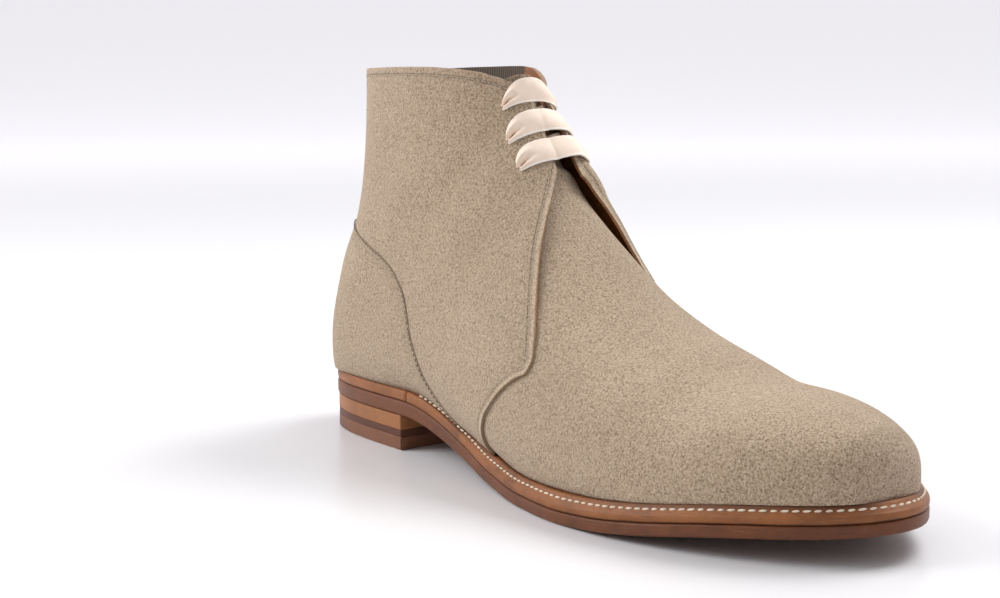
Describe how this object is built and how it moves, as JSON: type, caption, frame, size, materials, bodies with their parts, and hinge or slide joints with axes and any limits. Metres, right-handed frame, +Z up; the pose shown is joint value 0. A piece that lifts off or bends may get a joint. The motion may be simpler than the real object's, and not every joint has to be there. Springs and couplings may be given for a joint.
{
  "type": "chukka boot",
  "caption": "Ankle-high suede chukka boot with laced facings, a welted leather sole and a stacked heel, standing empty.",
  "frame": {"origin": "on the floor, below the middle of the boot's bounding box", "axes": "+X from heel to toe, +Y to the wearer's left (the inner side of this right boot), +Z up from the floor"},
  "size_m": [0.3032, 0.1036, 0.1496],
  "materials": {
    "upper_suede": "matte",
    "tongue_suede": "matte",
    "insole_leather": "matte",
    "welt_leather": "satin",
    "sole_leather": "satin",
    "lift_light": "satin",
    "lift_dark": "satin",
    "top_piece_leather": "satin",
    "lace_ribbon": "satin"
  },
  "bodies": {
    "root": {"upper": "upper_suede", "tongue": "tongue_suede", "heel_counter": "upper_suede", "insole": "insole_leather", "welt": "welt_leather", "heel_seat_rand": "welt_leather", "outsole": "sole_leather", "heel_lift_upper": "lift_light", "heel_lift_middle": "lift_dark", "heel_top_piece": "top_piece_leather", "lace": "lace_ribbon"}
  },
  "joints": []
}
